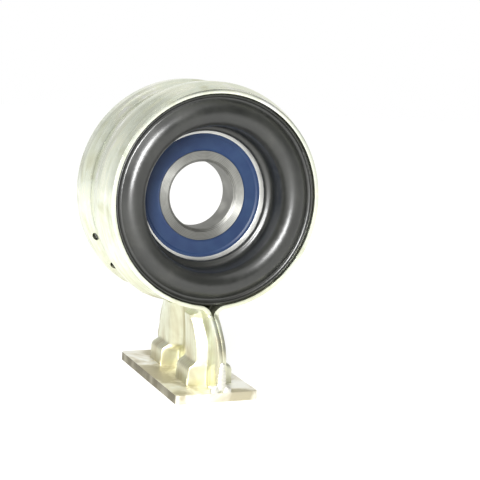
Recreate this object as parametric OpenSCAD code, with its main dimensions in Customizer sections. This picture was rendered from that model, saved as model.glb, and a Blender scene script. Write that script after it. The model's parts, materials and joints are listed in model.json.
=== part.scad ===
// Driveshaft centre bearing: a sealed ball bearing in a rubber isolator, held by
// a pressed sheet strap whose two ends run down to a foot plate.
// The origin is the centre of the bearing bore, +Y runs along the shaft and +Z is up.

/* [Bearing] */
// Bore of the inner ring, the shaft seat
bore = 35; // [30:0.5:38]
// Outside diameter of the outer ring
bearing_od = 72; // [70:0.5:74]
// Width of both rings
bearing_width = 17; // [16.6:0.1:20]
// Ball diameter as a share of the space between bore and outside
ball_share = 0.3; // [0.28:0.005:0.31]

/* [Rubber isolator] */
// Height of the front roll above the bearing face
roll_height = 23.1; // [21:0.1:24]
// Wall of the rubber round the front roll
rubber_wall = 4.2; // [3.8:0.1:4.6]
// Width of the cove between the roll and the strap
rim_cove = 2.9; // [2.4:0.1:3.6]
// Height of the lips that hold the bearing over its outer ring
lip_height = 1.2; // [1:0.1:1.5]
// Radius of the round bead on the front lip
bead_r = 2.2; // [1.8:0.1:2.4]

/* [Strap] */
// Inside diameter of the strap ring
strap_bore = 107; // [106:0.5:110]
// Width of the strap along the shaft
strap_width = 62; // [60:0.5:64]
// Thickness of the sheet
sheet = 2; // [1.6:0.1:2.2]
// Height of the two ridges rolled into the ring
ridge_height = 3.5; // [2.6:0.1:4]
// Radius of the bend from the ring into each leg
neck_radius = 7.5; // [6.5:0.5:9]
// Height of the two stiffening ribs on each leg
rib_height = 5.9; // [5:0.1:6.6]
// Extra height of the nut pocket at the foot of each rib
pocket_step = 4.3; // [3.6:0.1:4.8]
// Diameter of the two relief holes beside the valley of the ring
relief_hole_d = 4.2; // [3.4:0.1:4.6]

/* [Foot] */
// Height of the shaft axis above the underside of the foot
centre_height = 100.3; // [97:0.5:104]
// Length of the foot plate along the shaft
foot_length = 90.3; // [88:0.5:96]
// Width of the foot plate
foot_width = 44.4; // [40:0.5:50]
// Thickness of the foot plate
foot_thickness = 4.7; // [4:0.1:6]
// How far the foot is set back along the shaft
foot_offset = 2.5; // [1:0.25:4]
// Distance between the two fixing bolts
bolt_spacing = 41; // [39:0.5:43]
// Width across the flats of the captive nuts
nut_flats = 13; // [12:0.5:14]
// Height of the captive nuts
nut_height = 7; // [6:0.1:8]
// Core diameter of the nut thread
nut_bore = 6.8; // [6.4:0.1:7.2]
// How far the seam between the legs stands to one side at the foot
seam_shift = 1.8; // [0:0.1:2]

/* [Hidden] */
ball_count = 9;
ball_step = 360 / ball_count;
fine = 96;

// Bearing
pitch_r = (bore + bearing_od) / 4;
ball_r = ball_share * (bearing_od - bore) / 2;
race_clearance = 0.055;
race_r = ball_r * 1.045;
half_width = bearing_width / 2;
outer_land_r = pitch_r + ball_r * 0.57;
inner_land_r = pitch_r - ball_r * 0.63;
seal_r = pitch_r + ball_r * 0.98;
seal_in = 0.3;
seal_thickness = 1.25;
seal_gap = 0.06;
seal_seat_y = half_width - seal_in - seal_thickness - 0.05;
ring_chamfer = 0.6;
bore_chamfer = 1.5;
pocket_gap = 0.12;
cage_sheet = 0.6;
cage_band = ball_r * 0.68;
rivet_d = 1.6;
rivet_head_d = 2.8;
rivet_head = 0.5;

// Rubber
fit_gap = 0.05;
bearing_seat_r = bearing_od / 2 + fit_gap;
strap_r = strap_bore / 2;
rubber_r = strap_r - 0.2;
lip_r = bearing_od / 2 - lip_height;
lip_y = half_width + fit_gap;
lip_thickness = 1.6;
bead_centre_r = lip_r + bead_r - 1.2;
bead_stand = 0.15;
bead_y = lip_y + bead_r + bead_stand;
roll_out_r = rubber_r - rim_cove;
roll_in_r = bearing_od / 2 + 1;
roll_r = (roll_out_r - roll_in_r) / 2;
roll_centre_r = (roll_out_r + roll_in_r) / 2;
roll_y = half_width + roll_height - roll_r;
roll_core_r = max(roll_r - rubber_wall, roll_r * 0.3);
flank_tilt = 38;
flank_sink = 0.02;
flank_r = roll_centre_r + (roll_r - flank_sink) * sin(flank_tilt);
flank_y = roll_y + (roll_r - flank_sink) * cos(flank_tilt);
cove_r = 1.4;
cove_centre_r = rubber_r - 2.6;
cove_start_r = cove_centre_r - cove_r * sin(flank_tilt);
cove_start_y = flank_y - (cove_start_r - flank_r) * tan(flank_tilt);
cove_y = cove_start_y + cove_r * cos(flank_tilt);
sleeve_y = strap_width / 2 - 4.5;
sleeve_r = min(roll_out_r - 2.3, roll_centre_r + roll_core_r + 3);
inner_sleeve_r = min(bearing_seat_r + rubber_wall, roll_centre_r - roll_core_r);
web = 6;
crook_r = 3;
crook_centre_r = roll_in_r - crook_r;
crook_y = bead_y + sqrt(pow(bead_r + crook_r, 2) - pow(bead_centre_r - crook_centre_r, 2));

// Strap ring, in degrees from straight down
strap_half = strap_width / 2;
sheet_gap = 0.15;
neck_x = sheet_gap + neck_radius;
neck_z = -sqrt(pow(strap_r + neck_radius, 2) - neck_x * neck_x);
neck_angle = atan2(neck_x, -neck_z);
join_angle = 40;
fade_angle = 17;
join_step = 0.03;
valley_half = 4.5;
relief_angles = [46.6, 65.4];
relief_y = 8;
relief_tilt = 30;

// Legs and foot
foot_top_z = foot_thickness - centre_height;
leg_top_z = -strap_r - 4.5;
leg_half = foot_length / 2 - 0.7;
flare_run = 22;
rib_y = bolt_spacing / 2;
rib_top_z = neck_z - 2;
rib_run = 17;
pocket_full_z = foot_top_z + nut_height + 1.6;
pocket_top_z = pocket_full_z + 3.4;
pocket_half = nut_flats / 2 + sheet;
pocket_flank = 1.2;
mouth_open = 0.7;
mouth_top_z = foot_top_z + 16;
mouth_end_z = foot_top_z + 4;
bolt_hole_d = nut_bore + 2.2;
foot_corner = 2;
weld_r = 6.2;
weld_height = 5;
weld_gap = 0.02;
weld_side = 0.4;
run_half = 2.9;
run_height = 15.5;
run_arc_r = (pow(run_height / 2, 2) + run_half * run_half) / (2 * run_half);
nut_corner_d = nut_flats / cos(30);
leg_rows = 18;
neck_rows = 8;
ring_rows = 6;
columns = 14;

// Smooth step from 0 to 1 as v goes from a to b
function ease(a, b, v) = let (s = min(1, max(0, (v - a) / (b - a)))) s * s * (3 - 2 * s);

// Straight mix of two values
function mix(a, b, s) = a + (b - a) * s;

// Height of the ring's ridges across its width: a valley in the middle, a ridge each side, plain edges
function ridge(y) = ridge_height * (ease(valley_half, valley_half + 8, abs(y))
    - ease(strap_half - 11.5, strap_half - 2.5, abs(y)));

// Leg: how far it has flared, from 0 at the neck to 1 near the foot, and how far its ribs have spread
function flare(z) = let (s = min(1, max(0, (leg_top_z - z) / flare_run))) s * (2 - s);
function spread(z) = let (s = min(1, max(0, (rib_top_z - z) / rib_run))) s * (2 - s);

// Leg: half width of the sheet, then place, height and half widths of a rib at its crest and its two bases
function half_at(z) = mix(strap_half, leg_half, flare(z));
function rib_place(z) = rib_y - 5.3 * (1 - spread(z));
function pocket_at(z) = ease(pocket_top_z, pocket_full_z, z);
function rib_at(z) = rib_height * ease(neck_z + 9, neck_z + 1, z) + pocket_step * pocket_at(z);
function crest_at(z) = mix(mix(3.8, 7.5, spread(z)), pocket_half, pocket_at(z));
function near_base_at(z) = crest_at(z) + mix(mix(5, 7.5, spread(z)), pocket_flank, pocket_at(z));
function far_base_at(z) = crest_at(z) + mix(3.5, pocket_flank, pocket_at(z));
function mouth_at(z) = z < mouth_top_z && z > mouth_end_z
    ? mouth_open * pow(sin(180 * (mouth_top_z - z) / (mouth_top_z - mouth_end_z)), 2) : 0;

// One flank of a rib as [place, share of the rib's height]
function flank(a, b, up) = [for (s = [0, 0.15, 0.5, 0.85, 1])
    [mix(a, b, s), up ? ease(0, 1, s) : 1 - ease(0, 1, s)]];

// A rib's flank of this width draws the inner face in by so much for an even sheet
function flank_shift(z, width) = sheet * tan(atan2(rib_at(z), width) / 2);

// Half a leg's section from the middle out, on its outer or its inner face
function leg_half_section(z, inner) = let (
    p = rib_place(z),
    c = crest_at(z),
    near = near_base_at(z),
    far = far_base_at(z),
    w = half_at(z),
    near_in = inner ? flank_shift(z, near - c) : 0,
    far_in = inner ? flank_shift(z, far - c) : 0) concat(
    [[0, 0]],
    flank(p - near + near_in, p - c + near_in, true),
    [[p, 1]],
    flank(p + c - far_in, p + far - far_in, false),
    [[mix(p + far, w, 0.5), 0], [w, 0]]);

// One point of the left half of the strap: a station is [x, z, outward x, outward z, leg share, ridge share]
function sheet_point(st, j, inner, lean) = let (
    side = j < 0 ? -1 : 1,
    k = abs(j),
    z = st[1],
    legs = leg_half_section(z, inner)[k],
    ring_y = strap_half * k / (columns - 1),
    near_ring = st[4] == 0 ? join_step : 0,
    mouth = k == columns - 1 ? 1 : k == columns - 2 ? 0.4 : 0,
    rise = mix(ridge(ring_y) * st[5], rib_at(z) * legs[1] + mouth * mouth_at(z), st[4]),
    out = rise + (inner ? near_ring : sheet - near_ring),
    y = mix(side * (ring_y - near_ring * k / columns), foot_offset * flare(z) + side * legs[0], st[4]))
    [st[0] + st[2] * out + lean * flare(z) * st[4], y, st[1] + st[3] * out];

// Stations of the left half of the strap from the foot up the leg, round the neck and into the ring
leg_stations = [for (i = [0 : leg_rows - 1])
    [-sheet_gap, mix(foot_top_z, neck_z, i / leg_rows), -1, 0, 1, 0]];
neck_stations = [for (i = [0 : neck_rows - 1]) let (a = (90 - neck_angle) * i / neck_rows)
    [neck_radius * cos(a) - neck_x, neck_z + neck_radius * sin(a), -cos(a), -sin(a),
    1 - ease(0, 0.97, i / neck_rows), 0]];
ring_stations = [for (i = [0 : ring_rows]) let (a = mix(neck_angle, join_angle + 1, i / ring_rows))
    [-strap_r * sin(a), -strap_r * cos(a), -sin(a), -cos(a), 0, ease(fade_angle, join_angle - 2, a)]];
stations = concat(leg_stations, neck_stations, ring_stations);

// Left leg with its neck, lofted through the stations and leaning a little to one side
module leg(lean) {
    n = len(stations);
    m = 2 * columns - 1;
    points = [for (st = stations, face = [0, 1], j = [1 - columns : columns - 1])
        sheet_point(st, j, face == 1, lean)];
    function at(i, face, j) = (2 * i + face) * m + j;
    skins = [for (i = [0 : n - 2], j = [0 : m - 2]) each [
        [at(i, 0, j), at(i, 0, j + 1), at(i + 1, 0, j + 1)],
        [at(i, 0, j), at(i + 1, 0, j + 1), at(i + 1, 0, j)],
        [at(i, 1, j), at(i + 1, 1, j + 1), at(i, 1, j + 1)],
        [at(i, 1, j), at(i + 1, 1, j), at(i + 1, 1, j + 1)]]];
    sides = [for (i = [0 : n - 2]) each [
        [at(i, 0, 0), at(i + 1, 0, 0), at(i + 1, 1, 0)],
        [at(i, 0, 0), at(i + 1, 1, 0), at(i, 1, 0)],
        [at(i, 0, m - 1), at(i + 1, 1, m - 1), at(i + 1, 0, m - 1)],
        [at(i, 0, m - 1), at(i, 1, m - 1), at(i + 1, 1, m - 1)]]];
    ends = [for (j = [0 : m - 2]) each [
        [at(0, 0, j), at(0, 1, j), at(0, 1, j + 1)],
        [at(0, 0, j), at(0, 1, j + 1), at(0, 0, j + 1)],
        [at(n - 1, 0, j), at(n - 1, 1, j + 1), at(n - 1, 1, j)],
        [at(n - 1, 0, j), at(n - 1, 0, j + 1), at(n - 1, 1, j + 1)]]];
    polyhedron(points, concat(skins, sides, ends));
}

// Turn a profile drawn as [radius, place along the shaft] about the shaft axis
module about_shaft(from = 0, turn = 360) {
    rotate([-90, 0, 0]) rotate([0, 0, from]) rotate_extrude(angle = turn, $fn = fine) children();
}

// Section of the strap ring: valley in the middle, a ridge each side, plain edges
module ring_section() {
    places = [for (j = [1 - columns : columns - 1]) strap_half * j / (columns - 1)];
    polygon(concat(
        [for (y = places) [strap_r + ridge(y), y]],
        [for (j = [len(places) - 1 : -1 : 0]) [strap_r + ridge(places[j]) + sheet, places[j]]]));
}

// Strap: ring, necks and legs bent from one sheet, with two relief holes beside the valley
module strap() {
    color("#d6d3b4") difference() {
        union() {
            about_shaft(90 + join_angle, 360 - 2 * join_angle) ring_section();
            leg(seam_shift);
            mirror([1, 0, 0]) leg(-seam_shift);
        }
        for (a = relief_angles)
            rotate([0, a, 0]) translate([0, relief_y, -strap_r - ridge(relief_y) - sheet / 2])
                rotate([-relief_tilt, 0, 0]) cylinder(h = 7, d = relief_hole_d, center = true, $fn = 32);
    }
}

// Foot plate with its corners rounded and two bolt holes under the nut pockets
module base_plate() {
    color("#d6d3b4") translate([0, foot_offset, -centre_height]) linear_extrude(foot_thickness) difference() {
        union() {
            square([foot_width - 2 * foot_corner, foot_length], center = true);
            square([foot_width, foot_length - 2 * foot_corner], center = true);
            for (sx = [-1, 1], sy = [-1, 1])
                translate([sx * (foot_width / 2 - foot_corner), sy * (foot_length / 2 - foot_corner)])
                    circle(foot_corner, $fn = 48);
        }
        for (sy = [-1, 1])
            translate([0, sy * rib_y]) circle(d = bolt_hole_d, $fn = 48);
    }
}

// Two hexagon nuts standing on the plate inside the pockets of the legs
module captive_nuts() {
    color("#b9b9b2") for (sy = [-1, 1])
        translate([0, foot_offset + sy * rib_y, foot_top_z]) difference() {
            cylinder(h = nut_height, d = nut_corner_d, $fn = 6);
            translate([0, 0, -1]) cylinder(h = nut_height + 2, d = nut_bore, $fn = 48);
        }
}

// Outline of the weld run up the seam, pointed at both ends
module weld_run() {
    intersection_for (s = [-1, 1])
        translate([s * (run_arc_r - run_half), run_height / 2]) circle(run_arc_r, $fn = fine);
}

// Weld at one end of the legs: a run down the edges of the two sheets that spreads on to the plate
module weld_bead() {
    slot = sheet + sheet_gap + weld_gap;
    front = foot_length / 2 - 0.3;
    difference() {
        translate([weld_side, -leg_half, 0])
            cylinder(h = weld_height, r1 = weld_r, r2 = weld_r * 0.4, $fn = 48);
        translate([-slot, -leg_half - weld_gap, -1]) cube([2 * slot, 2 * weld_r, weld_height + 2]);
        translate([-2 * weld_r, -front - 2 * weld_r, -1]) cube([4 * weld_r, 2 * weld_r, weld_height + 2]);
    }
    translate([weld_side, -leg_half - weld_gap, 0]) rotate([90, 0, 0])
        linear_extrude(front - leg_half - weld_gap) weld_run();
}

// Weld at both ends of the legs
module weld_beads() {
    color("#cfcfc6") translate([seam_shift, foot_offset, foot_top_z]) for (end = [0, 1])
        mirror([0, end, 0]) weld_bead();
}

// Section of the rubber sleeve on the bearing, with a lip over each face of the outer ring
module seat_section() {
    polygon([
        [lip_r, -lip_y],
        [lip_r, -bead_y],
        [inner_sleeve_r, -bead_y],
        [inner_sleeve_r, lip_y + lip_thickness],
        [lip_r + 0.8, lip_y + lip_thickness],
        [lip_r, lip_y + lip_thickness - 0.8],
        [lip_r, lip_y],
        [bearing_seat_r, lip_y],
        [bearing_seat_r, -lip_y]]);
}

// Section of the front lip: a round bead that sweeps up into the flank of the roll
module bead_section() {
    translate([bead_centre_r, -bead_y]) circle(bead_r, $fn = fine);
    difference() {
        polygon([
            [bead_centre_r, -bead_y],
            [crook_centre_r, -crook_y],
            [roll_in_r + 1, -crook_y],
            [roll_in_r + 1, -bead_y]]);
        translate([crook_centre_r, -crook_y]) circle(crook_r, $fn = fine);
    }
}

// Section of the sleeve in the strap: the roll's flank runs straight down to a cove at the strap's edge
module rim_section() {
    difference() {
        polygon([
            [roll_centre_r, -roll_y],
            [flank_r, -flank_y],
            [cove_start_r, -cove_start_y],
            [cove_centre_r, -cove_y],
            [rubber_r, -cove_y],
            [rubber_r, sleeve_y],
            [sleeve_r, sleeve_y],
            [sleeve_r, -roll_y]]);
        translate([cove_centre_r, -cove_y]) circle(cove_r, $fn = fine);
    }
}

// Rubber: a sleeve in the strap and a sleeve on the bearing joined by a roll at the front, open at the back
module rubber_isolator() {
    color("#1d1d1f") about_shaft() difference() {
        union() {
            rim_section();
            translate([roll_centre_r, -roll_y]) circle(roll_r, $fn = fine);
            translate([roll_in_r, -roll_y]) square([sleeve_r + 0.5 - roll_in_r, web]);
            translate([roll_in_r, -roll_y]) square([inner_sleeve_r - roll_in_r, roll_y]);
            bead_section();
            seat_section();
        }
        translate([roll_centre_r, -roll_y]) circle(roll_core_r, $fn = fine);
        translate([roll_centre_r - roll_core_r, -roll_y]) square([2 * roll_core_r, roll_y]);
    }
}

// Bearing outer ring with its ball groove, seal seats and outer chamfers
module outer_ring() {
    r = bearing_od / 2;
    color("#c9ccd0") about_shaft() difference() {
        polygon([
            [outer_land_r, -half_width],
            [r - ring_chamfer, -half_width],
            [r, -half_width + ring_chamfer],
            [r, half_width - ring_chamfer],
            [r - ring_chamfer, half_width],
            [outer_land_r, half_width]]);
        translate([pitch_r + ball_r + race_clearance - race_r, 0]) circle(race_r, $fn = fine);
        for (s = [-1, 1])
            translate([outer_land_r - 1, s * (seal_seat_y + 5) - 5]) square([seal_r - outer_land_r + 1, 10]);
    }
}

// Bearing inner ring with its ball groove and chamfered bore
module inner_ring() {
    r = bore / 2;
    color("#c9ccd0") about_shaft() difference() {
        polygon([
            [r, -half_width + bore_chamfer],
            [r + bore_chamfer, -half_width],
            [inner_land_r, -half_width],
            [inner_land_r, half_width],
            [r + bore_chamfer, half_width],
            [r, half_width - bore_chamfer]]);
        translate([pitch_r - ball_r - race_clearance + race_r, 0]) circle(race_r, $fn = fine);
    }
}

// Seal on the front side, dished between its rim and its lip
module seal() {
    face = -half_width + seal_in;
    back = face + seal_thickness;
    lip = inner_land_r + seal_gap;
    rim = seal_r - 0.02;
    color("#3b4f78") about_shaft() polygon([
        [lip, face + 0.3],
        [lip + 1, face + 0.5],
        [rim - 2, face + 0.5],
        [rim - 1.2, face],
        [rim, face],
        [rim, back],
        [lip + 1.6, back],
        [lip, back - 0.5]]);
}

module seal_front() {
    seal();
}

module seal_rear() {
    mirror([0, 1, 0]) seal();
}

// Places something at each ball, or half a step on between two balls
module round_pitch(shift = 0) {
    for (i = [0 : ball_count - 1])
        rotate([0, (i + shift) * ball_step, 0]) translate([0, 0, pitch_r]) children();
}

// Front half of the ribbon cage: round pockets over the balls joined by flat links
module cage_half() {
    color("#a9a08a") difference() {
        union() {
            about_shaft() translate([pitch_r - cage_band / 2, -cage_sheet]) square([cage_band, cage_sheet]);
            round_pitch()
                cylinder(h = cage_band - 0.2, r = ball_r + pocket_gap + cage_sheet,
                    center = true, $fn = fine);
        }
        round_pitch() cylinder(h = 2 * cage_band, r = ball_r + pocket_gap, center = true, $fn = fine);
        translate([-bearing_od, 0, -bearing_od]) cube(2 * bearing_od);
        round_pitch(0.5) rotate([90, 0, 0])
            cylinder(h = half_width, d = rivet_d + 0.04, center = true, $fn = 32);
    }
}

module cage_front() {
    cage_half();
}

module cage_rear() {
    mirror([0, 1, 0]) cage_half();
}

// Rivets through the links of the cage
module cage_rivets() {
    color("#a9a08a") round_pitch(0.5) rotate([90, 0, 0]) {
        cylinder(h = 2 * cage_sheet + rivet_head, d = rivet_d, center = true, $fn = 32);
        for (s = [-1, 1])
            translate([0, 0, s * (cage_sheet + rivet_head / 2)])
                cylinder(h = rivet_head, d = rivet_head_d, center = true, $fn = 32);
    }
}

// One ball, counted round the pitch circle from the top
module ball(i) {
    color("#dfe2e6") rotate([0, i * ball_step, 0]) translate([0, 0, pitch_r]) sphere(ball_r, $fn = fine);
}

module ball_1() {
    ball(0);
}

module ball_2() {
    ball(1);
}

module ball_3() {
    ball(2);
}

module ball_4() {
    ball(3);
}

module ball_5() {
    ball(4);
}

module ball_6() {
    ball(5);
}

module ball_7() {
    ball(6);
}

module ball_8() {
    ball(7);
}

module ball_9() {
    ball(8);
}

strap();
base_plate();
captive_nuts();
weld_beads();
rubber_isolator();
outer_ring();
inner_ring();
cage_front();
cage_rear();
cage_rivets();
seal_front();
seal_rear();
ball_1();
ball_2();
ball_3();
ball_4();
ball_5();
ball_6();
ball_7();
ball_8();
ball_9();
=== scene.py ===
import json
import math
import random

import bpy
from mathutils import Matrix, Vector

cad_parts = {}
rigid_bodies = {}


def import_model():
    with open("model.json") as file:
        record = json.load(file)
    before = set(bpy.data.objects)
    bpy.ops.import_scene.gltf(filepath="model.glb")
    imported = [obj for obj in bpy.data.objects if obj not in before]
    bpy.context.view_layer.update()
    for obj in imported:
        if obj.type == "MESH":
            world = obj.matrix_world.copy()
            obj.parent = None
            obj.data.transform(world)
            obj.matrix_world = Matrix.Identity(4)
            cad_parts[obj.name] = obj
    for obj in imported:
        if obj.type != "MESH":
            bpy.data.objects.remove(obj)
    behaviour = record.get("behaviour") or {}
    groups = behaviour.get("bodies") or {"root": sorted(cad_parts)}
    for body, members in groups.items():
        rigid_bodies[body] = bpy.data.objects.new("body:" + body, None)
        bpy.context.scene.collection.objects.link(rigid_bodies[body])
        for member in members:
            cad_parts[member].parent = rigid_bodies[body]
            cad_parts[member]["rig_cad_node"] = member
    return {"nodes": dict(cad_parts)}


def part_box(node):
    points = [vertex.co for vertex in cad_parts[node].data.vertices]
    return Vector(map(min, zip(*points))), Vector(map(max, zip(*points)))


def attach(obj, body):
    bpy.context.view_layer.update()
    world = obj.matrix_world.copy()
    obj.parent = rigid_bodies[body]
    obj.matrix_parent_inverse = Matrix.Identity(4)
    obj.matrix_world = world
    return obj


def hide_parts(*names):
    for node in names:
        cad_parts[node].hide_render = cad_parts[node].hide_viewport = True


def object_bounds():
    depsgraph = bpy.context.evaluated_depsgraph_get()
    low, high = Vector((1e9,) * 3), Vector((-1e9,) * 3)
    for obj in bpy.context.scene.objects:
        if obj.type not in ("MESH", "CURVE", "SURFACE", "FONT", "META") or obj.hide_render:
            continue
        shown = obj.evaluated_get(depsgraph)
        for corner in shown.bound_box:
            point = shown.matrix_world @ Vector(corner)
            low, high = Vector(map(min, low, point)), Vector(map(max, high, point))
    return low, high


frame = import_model()
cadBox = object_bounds()
mm = 0.001
mergeGap = 0.004 * mm  # corners of a solid's triangles that lie closer than this are one
waveTurn = 0.314  # a wave texture of scale 1 repeats every 2 pi / 20
print("frame loaded:", len(frame["nodes"]), "nodes")


# small helpers
def toLinear(hexColour):
    parts = [int(hexColour[i:i + 2], 16) / 255 for i in (1, 3, 5)]
    return tuple(c / 12.92 if c <= 0.04045 else ((c + 0.055) / 1.055) ** 2.4 for c in parts) + (1.0,)


def setInputs(tree, node, inputs):
    # a value is a plain setting, or a node with the name of its output, which is then linked
    for name, value in inputs.items():
        if isinstance(value, tuple) and isinstance(value[0], bpy.types.Node):
            tree.links.new(value[0].outputs[value[1]], node.inputs[name])
        else:
            node.inputs[name].default_value = value


def addNode(tree, kind, inputs=None, stops=None, **settings):
    node = tree.nodes.new(kind)
    for name, value in settings.items():
        setattr(node, name, value)
    setInputs(tree, node, inputs or {})
    if stops:
        ramp = node.color_ramp
        while len(ramp.elements) < len(stops):
            ramp.elements.new(1.0)
        for element, (place, colour) in zip(ramp.elements, stops):
            element.position = place
            element.color = toLinear(colour)
    return node


def newMaterial(name):
    material = bpy.data.materials.new(name)
    material.use_nodes = True
    tree = material.node_tree
    return material, tree, tree.nodes["Principled BSDF"]


def selectOnly(piece):
    bpy.ops.object.select_all(action="DESELECT")
    piece.select_set(True)
    bpy.context.view_layer.objects.active = piece


def editAll():
    # into edit mode, with the whole of the active piece selected
    bpy.ops.object.mode_set(mode="EDIT")
    bpy.ops.mesh.select_all(action="SELECT")


def selectVerts(piece, wanted):
    bpy.ops.object.mode_set(mode="EDIT")
    bpy.ops.mesh.select_mode(type="VERT")
    bpy.ops.mesh.select_all(action="DESELECT")
    bpy.ops.object.mode_set(mode="OBJECT")
    for vertex in piece.data.vertices:
        vertex.select = wanted(vertex.co)
    bpy.ops.object.mode_set(mode="EDIT")


def copyOfSolid(name, pieceName):
    # a solid comes as loose triangles, so its copy is merged first
    selectOnly(frame["nodes"][name])
    bpy.ops.object.duplicate()
    piece = bpy.context.active_object
    piece.name = pieceName
    del piece["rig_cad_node"]
    bpy.ops.object.parent_clear(type="CLEAR_KEEP_TRANSFORM")
    editAll()
    bpy.ops.mesh.remove_doubles(threshold=mergeGap)
    bpy.ops.object.mode_set(mode="OBJECT")
    return piece


def roundEdges(pieceSet):
    # bevels every edge of the active piece that is sharper than an angle, all angles in degrees
    bpy.ops.object.mode_set(mode="EDIT")
    if "flat" in pieceSet:  # triangles that lie this flat become one face first
        bpy.ops.mesh.select_all(action="SELECT")
        bpy.ops.mesh.dissolve_limited(angle_limit=math.radians(pieceSet["flat"]))
    bpy.ops.mesh.select_all(action="DESELECT")
    bpy.ops.mesh.select_mode(type="EDGE")
    bpy.ops.mesh.edges_select_sharp(sharpness=math.radians(pieceSet["sharp"]))
    bpy.ops.mesh.bevel(offset=pieceSet["edge"], segments=pieceSet["steps"], clamp_overlap=True)
    bpy.ops.object.mode_set(mode="OBJECT")
    bpy.ops.object.shade_smooth_by_angle(angle=math.radians(pieceSet["smooth"]))


def holdFlats(piece):
    # large flat faces keep their own normal, so that only the rounds beside them shade softly
    flats = piece.modifiers.new("flatFaces", "WEIGHTED_NORMAL")
    flats.weight = 100  # the largest face decides
    bpy.ops.object.modifier_apply(modifier=flats.name)


def standIn(piece, name, material, body="housing"):
    piece.data.materials.clear()
    piece.data.materials.append(material)
    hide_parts(name)
    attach(piece, body)


# camera: a long lens, a little to the left of the part and above its axis
cameraView = {
    "azimuth": -21.368, "elevation": 6.531, "distance": 607.935 * mm,  # where it stands, seen from the bore
    "yaw": -23.64, "pitch": 8.702, "roll": 3.223,  # where it looks
    "lens": 87.12, "sensor": 36, "nearest": 10 * mm,
}


def lookBack(yaw, pitch):
    turn = math.radians(yaw)
    tilt = math.radians(pitch)
    return Vector((math.sin(turn) * math.cos(tilt), -math.cos(turn) * math.cos(tilt), math.sin(tilt)))


yaw = math.radians(cameraView["yaw"])
roll = math.radians(cameraView["roll"])
back = lookBack(cameraView["yaw"], cameraView["pitch"])
flatRight = Vector((math.cos(yaw), math.sin(yaw), 0))
flatUp = back.cross(flatRight)
right = math.cos(roll) * flatRight + math.sin(roll) * flatUp
up = math.cos(roll) * flatUp - math.sin(roll) * flatRight
stand = cameraView["distance"] * lookBack(cameraView["azimuth"], cameraView["elevation"])
bpy.ops.object.select_all(action="DESELECT")
bpy.ops.object.camera_add()
camera = bpy.context.active_object
camera.name = "mainCamera"
camera.data.lens = cameraView["lens"]
camera.data.sensor_width = cameraView["sensor"]
camera.data.clip_start = cameraView["nearest"]
camera.matrix_world = Matrix.Translation(stand) @ Matrix((right, up, back)).transposed().to_4x4()
bpy.context.scene.camera = camera
print("camera placed")


# zinc plated pressed sheet: a pale metal, straw and faint green in patches, with rolling streaks that run
# along the strip, round the ring and down the legs, and a fine grain; towards the foot the colour is
# painted darker and yellower, a painted shade and a painted reflection of the foot plate, and the surface
# is duller
zincLook = {
    "tintSize": 20 * mm,
    "streakWidth": 1.6 * mm, "streakStretch": 0.06, "streakDepth": 0.02 * mm, "streakBump": 0.3,
    "bendRadius": 55 * mm,  # turns the angle round the ring to a length along the strip
    "grainSize": 0.45 * mm, "grainDepth": 0.01 * mm, "grainBump": 0.35,  # coarser than real, to show
    "glossSpread": 0.13,  # how much rougher the streaks' high parts are
    # painted shade and painted reflection towards the foot: where it starts and ends, how far it deepens
    # the colour, and how much it also roughens
    "footShadeTop": 0.0, "footShadeBottom": -96 * mm, "footShade": 0.27, "footShadeDull": 0.5,
}


def makeZinc(name, turn, stops, rough, streaked=0.1):
    material, tree, shader = newMaterial(name)
    here = (addNode(tree, "ShaderNodeTexCoord"), "Object")
    axes = addNode(tree, "ShaderNodeSeparateXYZ", {"Vector": here})
    angle = addNode(tree, "ShaderNodeMath", {0: (axes, "X"), 1: (axes, "Z")}, operation="ARCTAN2")
    stretch = zincLook["bendRadius"] * zincLook["streakStretch"]
    along = addNode(tree, "ShaderNodeMath", {0: (angle, "Value"), 1: stretch}, operation="MULTIPLY")
    strip = addNode(tree, "ShaderNodeCombineXYZ", {"X": (along, "Value"), "Y": (axes, "Y")})
    streak = addNode(tree, "ShaderNodeTexNoise", {
        "Vector": (strip, "Vector"), "Scale": 1 / zincLook["streakWidth"], "Detail": 3.0, "Roughness": 0.6})
    place = addNode(tree, "ShaderNodeMapping", {"Vector": here, "Rotation": turn})
    tint = addNode(tree, "ShaderNodeTexNoise", {
        "Vector": (place, "Vector"), "Scale": 1 / zincLook["tintSize"],
        "Detail": 3.0, "Roughness": 0.55, "Distortion": 0.6})
    patch = addNode(tree, "ShaderNodeMix", {
        "Factor": streaked, 2: (tint, "Fac"), 3: (streak, "Fac")}, data_type="FLOAT")
    # painted shade and painted reflection: the colour deepens and yellows down towards the foot
    footShade = addNode(tree, "ShaderNodeMapRange", {
        "Value": (axes, "Z"), "From Min": zincLook["footShadeTop"], "From Max": zincLook["footShadeBottom"],
        "To Max": zincLook["footShade"]})
    tone = addNode(tree, "ShaderNodeMath", {0: (patch, 0), 1: (footShade, "Result")}, operation="ADD")
    colour = addNode(tree, "ShaderNodeValToRGB", {"Fac": (tone, "Value")}, stops=stops)
    gloss = addNode(tree, "ShaderNodeMapRange", {
        "Value": (streak, "Fac"), "From Min": 0.3, "From Max": 0.7,
        "To Min": rough, "To Max": rough + zincLook["glossSpread"]})
    dull = addNode(tree, "ShaderNodeMath", {
        0: (footShade, "Result"), 1: zincLook["footShadeDull"], 2: (gloss, "Result")}, operation="MULTIPLY_ADD")
    rolled = addNode(tree, "ShaderNodeBump", {
        "Height": (streak, "Fac"), "Strength": zincLook["streakBump"], "Distance": zincLook["streakDepth"]})
    grain = addNode(tree, "ShaderNodeTexNoise", {
        "Vector": (place, "Vector"), "Scale": 1 / zincLook["grainSize"], "Detail": 2.0})
    bump = addNode(tree, "ShaderNodeBump", {
        "Height": (grain, "Fac"), "Strength": zincLook["grainBump"], "Distance": zincLook["grainDepth"],
        "Normal": (rolled, "Normal")})
    setInputs(tree, shader, {
        "Metallic": 1.0, "Base Color": (colour, "Color"), "Roughness": (dull, "Value"),
        "Normal": (bump, "Normal")})
    return material


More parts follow.
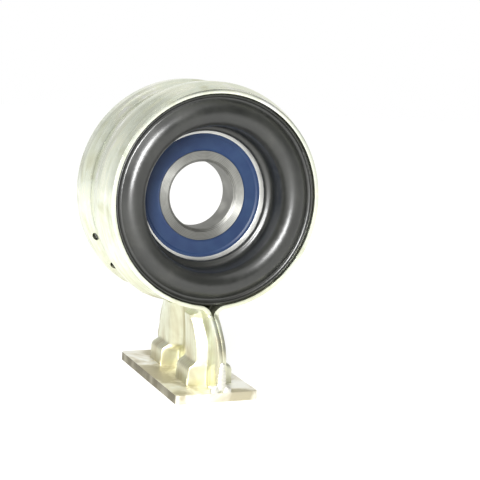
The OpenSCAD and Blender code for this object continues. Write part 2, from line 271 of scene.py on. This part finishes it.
zincSheet = makeZinc(
    "zincPlatedSheet", (0.4, 0.2, 0.9),
    [(0.38, "#fdfef9"), (0.46, "#f2f4e0"), (0.53, "#ebf0e1"), (0.62, "#dfe2cb"), (0.87, "#bdb699")],
    rough=0.22, streaked=0.35)
zincPlate = makeZinc(  # the same coat on thick plate, duller and hardly streaked
    "zincPlatedFootPlate", (1.1, 0.5, 0.1),
    [(0.66, "#f6f6f0"), (0.76, "#e6e2d3"), (0.85, "#beb79e")], rough=0.34)
plateSideShade = makeZinc(  # painted shade: the plate's long sides are coloured darker, and are duller
    "zincPlateSidesPaintedShade", (0.3, 0.8, 1.2), [(0.66, "#a39f90"), (0.83, "#7d7868")], rough=0.45)
zincNut = makeZinc(  # a clear, even coat
    "clearZincNut", (0.2, 1.3, 0.6), [(0.34, "#dcddd8"), (0.66, "#e6e4da")], rough=0.28)
weldMetal = makeZinc(  # pale, with little tint
    "platedWeldMetal", (0.9, 0.1, 0.3), [(0.5, "#e4e4de"), (0.8, "#d6d5c8")], rough=0.3)

# moulded rubber: charcoal, satin, with a faint grey bloom and the fine texture of the mould
rubberLook = {
    "bloomSize": 16 * mm, "bloom": [(0.35, "#141513"), (0.60, "#1d1e1b"), (0.75, "#292925")],
    "rough": (0.29, 0.39),
    "textureSize": 0.6 * mm, "textureDepth": 0.012 * mm, "textureBump": 0.25,  # coarser than real, to show
}
blackRubber, tree, shader = newMaterial("mouldedBlackRubber")
here = (addNode(tree, "ShaderNodeTexCoord"), "Object")
bloom = addNode(tree, "ShaderNodeTexNoise", {
    "Vector": here, "Scale": 1 / rubberLook["bloomSize"], "Detail": 5.0, "Roughness": 0.62})
colour = addNode(tree, "ShaderNodeValToRGB", {"Fac": (bloom, "Fac")}, stops=rubberLook["bloom"])
gloss = addNode(tree, "ShaderNodeMapRange", {
    "Value": (bloom, "Fac"), "From Min": 0.3, "From Max": 0.7,
    "To Min": rubberLook["rough"][0], "To Max": rubberLook["rough"][1]})
texture = addNode(tree, "ShaderNodeTexNoise", {
    "Vector": here, "Scale": 1 / rubberLook["textureSize"], "Detail": 2.0})
bump = addNode(tree, "ShaderNodeBump", {
    "Height": (texture, "Fac"), "Strength": rubberLook["textureBump"],
    "Distance": rubberLook["textureDepth"]})
setInputs(tree, shader, {
    "IOR": 1.55, "Specular IOR Level": 0.65, "Base Color": (colour, "Color"),
    "Roughness": (gloss, "Result"), "Normal": (bump, "Normal")})

# blue seal rubber: moulded, satin, in the mould's fine rings
sealLook = {
    "cloudSize": 6 * mm, "cloud": [(0.3, "#1d2c4a"), (0.7, "#233450")], "rough": (0.36, 0.5),
    "ringSpacing": 0.8 * mm, "ringDepth": 0.012 * mm, "ringBump": 0.25,
}
blueSeal, tree, shader = newMaterial("mouldedBlueSealRubber")
here = (addNode(tree, "ShaderNodeTexCoord"), "Object")
cloud = addNode(tree, "ShaderNodeTexNoise", {
    "Vector": here, "Scale": 1 / sealLook["cloudSize"], "Detail": 4.0})
colour = addNode(tree, "ShaderNodeValToRGB", {"Fac": (cloud, "Fac")}, stops=sealLook["cloud"])
gloss = addNode(tree, "ShaderNodeMapRange", {
    "Value": (cloud, "Fac"), "To Min": sealLook["rough"][0], "To Max": sealLook["rough"][1]})
rings = addNode(tree, "ShaderNodeTexWave", {
    "Vector": here, "Scale": waveTurn / sealLook["ringSpacing"], "Distortion": 0.3},
    wave_type="RINGS", rings_direction="Y")
bump = addNode(tree, "ShaderNodeBump", {
    "Height": (rings, "Fac"), "Strength": sealLook["ringBump"], "Distance": sealLook["ringDepth"]})
setInputs(tree, shader, {
    "IOR": 1.5, "Specular IOR Level": 0.26, "Base Color": (colour, "Color"),
    "Roughness": (gloss, "Result"), "Normal": (bump, "Normal")})

# ground bearing steel: grey, with the fine rings that grinding leaves, which draw each light out into a fan
steelLook = {
    "cloudSize": 9 * mm, "glossSpread": 0.1,
    "ringSpacing": 0.7 * mm, "ringDepth": 0.006 * mm, "ringBump": 0.3,  # coarser than real, to show
    "ringShare": 0.3,  # of the rings in the colour, against the clouds
}


def makeGroundSteel(name, low, high, rough, stretch, dish=0.0):
    material, tree, shader = newMaterial(name)
    here = (addNode(tree, "ShaderNodeTexCoord"), "Object")
    cloud = addNode(tree, "ShaderNodeTexNoise", {
        "Vector": here, "Scale": 1 / steelLook["cloudSize"], "Detail": 3.0})
    rings = addNode(tree, "ShaderNodeTexWave", {
        "Vector": here, "Scale": waveTurn / steelLook["ringSpacing"], "Distortion": 1.5, "Detail": 2.0},
        wave_type="RINGS", rings_direction="Y")
    shade = addNode(tree, "ShaderNodeMix", {
        "Factor": steelLook["ringShare"], 2: (cloud, "Fac"), 3: (rings, "Fac")}, data_type="FLOAT")
    colour = addNode(tree, "ShaderNodeValToRGB", {"Fac": (shade, 0)}, stops=[(0.3, low), (0.7, high)])
    gloss = addNode(tree, "ShaderNodeMapRange", {
        "Value": (cloud, "Fac"), "From Min": 0.3, "From Max": 0.7,
        "To Min": rough, "To Max": rough + steelLook["glossSpread"]})
    bump = addNode(tree, "ShaderNodeBump", {
        "Height": (rings, "Fac"), "Strength": steelLook["ringBump"], "Distance": steelLook["ringDepth"]})
    setInputs(tree, shader, {
        "Metallic": 1.0, "Anisotropic": stretch, "Anisotropic Rotation": 0.25,
        "Base Color": (colour, "Color"), "Roughness": (gloss, "Result"), "Normal": (bump, "Normal")})
    if dish:  # the wheel leaves the face a trace hollow, so its far side takes the light
        inward = addNode(tree, "ShaderNodeVectorMath", {
            0: here, 1: (-1.0, 0.0, -1.0)}, operation="MULTIPLY")  # straight towards the axis
        unit = addNode(tree, "ShaderNodeVectorMath", {0: (inward, "Vector")}, operation="NORMALIZE")
        lean = addNode(tree, "ShaderNodeVectorMath", {
            0: (unit, "Vector"), "Scale": dish}, operation="SCALE")
        turned = addNode(tree, "ShaderNodeVectorTransform", {"Vector": (lean, "Vector")},
                         vector_type="VECTOR", convert_from="OBJECT", convert_to="WORLD")
        leant = addNode(tree, "ShaderNodeVectorMath", {
            0: (bump, "Normal"), 1: (turned, "Vector")}, operation="ADD")
        hollow = addNode(tree, "ShaderNodeVectorMath", {0: (leant, "Vector")}, operation="NORMALIZE")
        setInputs(tree, shader, {"Normal": (hollow, "Vector")})
    if stretch:  # grinding marks run round the axis, so the lights spread across them
        aroundAxis = addNode(tree, "ShaderNodeTangent", direction_type="RADIAL", axis="Y")
        setInputs(tree, shader, {"Tangent": (aroundAxis, "Tangent")})
    return material


innerSteelShaded = makeGroundSteel(  # painted shade: its colour is kept darker than the outer ring's
    "groundInnerRingSteelPaintedShade", "#80807c", "#a6a6a1", rough=0.40, stretch=0.75, dish=0.11)
outerSteelLit = makeGroundSteel(  # painted light: its colour is made lighter than the inner ring's, and plain; only its edge shows
    "groundOuterRingSteelPaintedLight", "#dededa", "#ebebe6", rough=0.42, stretch=0.5)
cageSteel = makeGroundSteel(  # pressed strip, dull and a little brown
    "pressedCageSteel", "#a39c8c", "#b4ad9d", rough=0.34, stretch=0.0)
ballSteel = makeGroundSteel(  # polished to a mirror
    "polishedBallSteel", "#dcdee0", "#e6e7e8", rough=0.08, stretch=0.0)
print("materials made")

nodeFinish = {
    "strap": zincSheet, "base_plate": zincPlate, "captive_nuts": zincNut, "weld_beads": weldMetal,
    "rubber_isolator": blackRubber, "outer_ring": outerSteelLit, "inner_ring": innerSteelShaded,
    "cage_front": cageSteel, "cage_rear": cageSteel, "cage_rivets": cageSteel,
    "seal_front": blueSeal, "seal_rear": blueSeal,
}
for name, node in frame["nodes"].items():
    node.data.materials.clear()
    node.data.materials.append(nodeFinish.get(name, ballSteel))
print("finishes on the solids")

plateLow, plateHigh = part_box("base_plate")
footTop = plateHigh.z
footMiddle = (plateLow.y + plateHigh.y) / 2

# pressed strap: the legs' ribs and pockets eased as a press leaves them, the cut edges of the sheet broken
strapSet = {
    "legTop": -57 * mm, "footGap": 0.2 * mm, "flange": 30.6 * mm,  # what is eased lies between these
    "cuts": 1, "ease": 0.4, "rounds": 1,
    "sharp": 50, "edge": 0.28 * mm, "steps": 2, "smooth": 40,
}
legFoot = footTop + strapSet["footGap"]


def isEased(point):
    return legFoot < point.z < strapSet["legTop"] and abs(point.y - footMiddle) < strapSet["flange"]


strap = copyOfSolid("strap", "pressedStrap")
selectVerts(strap, lambda point: point.z < strapSet["legTop"])
bpy.ops.mesh.subdivide(number_cuts=strapSet["cuts"])
bpy.ops.object.mode_set(mode="OBJECT")
selectVerts(strap, isEased)
bpy.ops.mesh.vertices_smooth(factor=strapSet["ease"], repeat=strapSet["rounds"])
roundEdges(strapSet)
standIn(strap, "strap", zincSheet)
print("strap eased:", len(strap.data.polygons), "faces")

# foot plate: plate with its edges rounded over by tumbling, its long sides painted darker and duller, a
# painted shade
plateSet = {"flat": 1, "sharp": 40, "edge": 0.7 * mm, "steps": 3, "smooth": 35, "sideways": 0.9}
plate = copyOfSolid("base_plate", "footPlate")
roundEdges(plateSet)
standIn(plate, "base_plate", zincPlate)
plate.data.materials.append(plateSideShade)
# painted shade: the faces of the long sides take the darker, duller finish
for face in plate.data.polygons:
    if abs(face.normal.x) > plateSet["sideways"]:
        face.material_index = 1
print("foot plate edged:", len(plate.data.polygons), "faces")

# weld at each end of the legs: drops run up the edges of the two sheets and spread on to the plate; a place
# is out from the seam, in from the legs' ends and up from the plate, and a size is half a drop's
weldSet = {
    "seed": 11, "legIn": 0.7 * mm,  # how far the legs end inside the plate's end
    "seamDrops": 8, "seamIn": 0.35 * mm, "seamLow": 2 * mm, "seamRise": 12 * mm, "seamWander": 0.2 * mm,
    "seamSize": (2.5 * mm, 0.95 * mm, 1.5 * mm), "taper": 0.38, "taperStart": 0.25, "taperRate": 0.8,
    "footDrops": 5,  # along the foot of each sheet, given for the first and the last
    "footPlaces": ((3.45 * mm, 0.6 * mm, 0.5 * mm), (2.8 * mm, 7.1 * mm, 0.5 * mm)),
    "footSizes": ((2.3 * mm, 1.5 * mm, 2.6 * mm), (1.495 * mm, 1.5 * mm, 1.4 * mm)),
    "cornerPlace": (2.8 * mm, 0.8 * mm, 1.2 * mm), "cornerSize": (2.2 * mm, 1.4 * mm, 2.6 * mm),
    "dropCuts": 3, "voxel": 0.3 * mm, "ease": 0.5, "rounds": 2, "smooth": 60,
    "endIn": 0.08 * mm, "sink": 0.3 * mm, "snap": 0.001 * mm,  # where it is cut off, outside and below
}
weldRandom = random.Random(weldSet["seed"])
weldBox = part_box("weld_beads")
weldX = (weldBox[0].x + weldBox[1].x) / 2
legEnd = plateHigh.y - weldSet["legIn"]


def fullness(along):
    # the seam is fullest a third of the way up
    turn = min(1, weldSet["taperStart"] + weldSet["taperRate"] * along)
    return 1 - weldSet["taper"] + weldSet["taper"] * math.sin(math.pi * turn)


def between(first, last, along):
    return tuple(a + (b - a) * along for a, b in zip(first, last))


def addDrop(side, place, size):
    outward, inward, upward = place
    bpy.ops.mesh.primitive_ico_sphere_add(
        subdivisions=weldSet["dropCuts"], radius=1, scale=size,
        location=(weldX + side * outward, legEnd - inward, footTop + upward))
    return bpy.context.active_object


bpy.ops.object.select_all(action="DESELECT")
drops = []
for i in range(weldSet["seamDrops"]):
    along = i / (weldSet["seamDrops"] - 1)
    wander = weldRandom.uniform(-weldSet["seamWander"], weldSet["seamWander"])
    half, deep, tall = weldSet["seamSize"]
    place = (wander, weldSet["seamIn"], weldSet["seamLow"] + along * weldSet["seamRise"])
    drops.append(addDrop(1, place, (half * fullness(along), deep, tall)))
for side in (-1, 1):
    for i in range(weldSet["footDrops"]):
        along = i / (weldSet["footDrops"] - 1)
        place = between(*weldSet["footPlaces"], along)
        drops.append(addDrop(side, place, between(*weldSet["footSizes"], along)))
    drops.append(addDrop(side, weldSet["cornerPlace"], weldSet["cornerSize"]))
bpy.ops.object.select_all(action="DESELECT")
for drop in drops:
    drop.select_set(True)
bpy.context.view_layer.objects.active = drops[0]
bpy.ops.object.transform_apply(location=True, rotation=True, scale=True)
bpy.ops.object.join()
weld = bpy.context.active_object
weld.name = "weldRuns"
weld.data.remesh_voxel_size = weldSet["voxel"]
bpy.ops.object.voxel_remesh()
editAll()
bpy.ops.mesh.vertices_smooth(factor=weldSet["ease"], repeat=weldSet["rounds"])
cuts = [
    ((0, plateHigh.y - weldSet["endIn"], 0), (0, 1, 0)),
    ((0, 0, footTop - weldSet["sink"]), (0, 0, -1)),
]
for place, outward in cuts:
    bpy.ops.mesh.select_all(action="SELECT")
    bpy.ops.mesh.bisect(
        plane_co=place, plane_no=outward, use_fill=True, clear_outer=True, threshold=weldSet["snap"])
bpy.ops.object.mode_set(mode="OBJECT")
bpy.ops.object.duplicate()  # for the front end of the legs, mirrored
frontWeld = bpy.context.active_object
editAll()
bpy.ops.transform.resize(value=(1, -1, 1), center_override=(0, footMiddle, 0))
bpy.ops.object.mode_set(mode="OBJECT")
selectOnly(weld)
frontWeld.select_set(True)
bpy.ops.object.join()
editAll()
bpy.ops.mesh.normals_make_consistent(inside=False)
bpy.ops.object.mode_set(mode="OBJECT")
bpy.ops.object.shade_smooth_by_angle(angle=math.radians(weldSet["smooth"]))
standIn(weld, "weld_beads", weldMetal)
print("welds run:", len(weld.data.polygons), "faces")

# rubber: the moulding's own surface, with the slivers of its triangles closed up
rubberSet = {"merge": 0.08 * mm, "smooth": 40}
rubber = copyOfSolid("rubber_isolator", "rubberMoulding")
editAll()
bpy.ops.mesh.remove_doubles(threshold=rubberSet["merge"])
bpy.ops.mesh.dissolve_degenerate(threshold=rubberSet["merge"])
bpy.ops.object.mode_set(mode="OBJECT")
bpy.ops.object.shade_smooth_by_angle(angle=math.radians(rubberSet["smooth"]))
holdFlats(rubber)
standIn(rubber, "rubber_isolator", blackRubber)
print("rubber smoothed:", len(rubber.data.polygons), "faces")

# bearing rings: the edges rounded off as tumbling leaves them, so that they catch the light
ringSet = {"flat": 0.5, "sharp": 30, "edge": 0.14 * mm, "steps": 2, "smooth": 35}
ringPieces = [
    ("inner_ring", "innerRing", innerSteelShaded, "inner_ring_body"),
    ("outer_ring", "outerRing", outerSteelLit, "housing"),
]
for name, pieceName, material, body in ringPieces:
    ring = copyOfSolid(name, pieceName)
    roundEdges(ringSet)
    holdFlats(ring)
    standIn(ring, name, material, body)
    print("ring edged:", pieceName, len(ring.data.polygons), "faces")

# floor: pale paper that is lit from below too, as on a light table
floorSet = {"size": 6.0, "colour": "#a8a8a6", "rough": 0.9, "glowColour": "#ffffff", "glow": 0.70}
floorZ = cadBox[0].z
bpy.ops.object.select_all(action="DESELECT")
bpy.ops.mesh.primitive_plane_add(size=floorSet["size"], location=(0, 0, floorZ))
floor = bpy.context.active_object
floor.name = "studioFloor"
paper, tree, shader = newMaterial("paleFloorPaper")
setInputs(tree, shader, {
    "Base Color": toLinear(floorSet["colour"]), "Roughness": floorSet["rough"],
    "Emission Color": toLinear(floorSet["glowColour"]), "Emission Strength": floorSet["glow"]})
floor.data.materials.append(paper)

# studio walls: white behind and all round at the horizon, pale above, dim in front, with a grey corner at
# the left and a fill at the right; a span is where a change starts and ends, along the axis that it follows
wallSet = {
    "sky": [(0.12, "#ffffff"), (0.45, "#ececea"), (0.9, "#e6e6e4")],
    "corner": [(0.06, "#ffffff"), (0.24, "#d8d8d2"), (0.40, "#d8d8d2"), (0.5, "#ffffff")],
    "frontDim": 0.12, "frontSpan": (-0.6, 0.3), "rightFill": 0.65, "rightSpan": (0.4, 0.95),
    "horizonSpan": (0.04, 0.12),
}
world = bpy.data.worlds.new("studioWorld")
world.use_nodes = True
tree = world.node_tree
coords = addNode(tree, "ShaderNodeTexCoord")
axes = addNode(tree, "ShaderNodeSeparateXYZ", {"Vector": (coords, "Generated")})
sky = addNode(tree, "ShaderNodeValToRGB", {"Fac": (axes, "Z")}, stops=wallSet["sky"])
across = addNode(tree, "ShaderNodeMapRange", {"Value": (axes, "X"), "From Min": -1.0, "From Max": 1.0})
corner = addNode(tree, "ShaderNodeValToRGB", {"Fac": (across, "Result")}, stops=wallSet["corner"])
front = addNode(tree, "ShaderNodeMapRange", {
    "Value": (axes, "Y"), "From Min": wallSet["frontSpan"][0], "From Max": wallSet["frontSpan"][1],
    "To Min": wallSet["frontDim"], "To Max": 1.0})
horizon = addNode(tree, "ShaderNodeMapRange", {
    "Value": (axes, "Z"), "From Min": wallSet["horizonSpan"][0], "From Max": wallSet["horizonSpan"][1],
    "To Min": 1.0, "To Max": 0.0})
side = addNode(tree, "ShaderNodeMapRange", {
    "Value": (axes, "X"), "From Min": wallSet["rightSpan"][0], "From Max": wallSet["rightSpan"][1],
    "To Max": wallSet["rightFill"]})
fill = addNode(tree, "ShaderNodeMath", {0: (side, "Result"), 1: (horizon, "Result")}, operation="MAXIMUM")
lit = addNode(tree, "ShaderNodeMath", {0: (front, "Result"), 1: (fill, "Value")}, operation="MAXIMUM")
strength = addNode(tree, "ShaderNodeMath", {0: (corner, "Color"), 1: (lit, "Value")}, operation="MULTIPLY")
setInputs(tree, tree.nodes["Background"], {"Color": (sky, "Color"), "Strength": (strength, "Value")})
bpy.context.scene.world = world
bpy.context.scene.view_settings.view_transform = "Standard"

# lights: one tall soft box at the front left, and a wide soft light from overhead
boxSet = {"place": (-0.410, -0.745, 0.292), "width": 0.24, "height": 0.50, "watts": 18.0}
bpy.ops.object.light_add(type="AREA", location=boxSet["place"])
softBox = bpy.context.active_object
softBox.name = "keyBox"
softBox.data.shape = "RECTANGLE"
softBox.data.size = boxSet["width"]
softBox.data.size_y = boxSet["height"]
softBox.data.energy = boxSet["watts"]
softBox.rotation_euler = Vector(boxSet["place"]).to_track_quat("Z", "Y").to_euler()

overheadSet = {"tilt": (18, -14, 0), "spread": 60, "strength": 0.85}
bpy.ops.object.light_add(type="SUN", rotation=[math.radians(turn) for turn in overheadSet["tilt"]])
overhead = bpy.context.active_object
overhead.name = "overheadLight"
overhead.data.angle = math.radians(overheadSet["spread"])
overhead.data.energy = overheadSet["strength"]
print("studio lit")
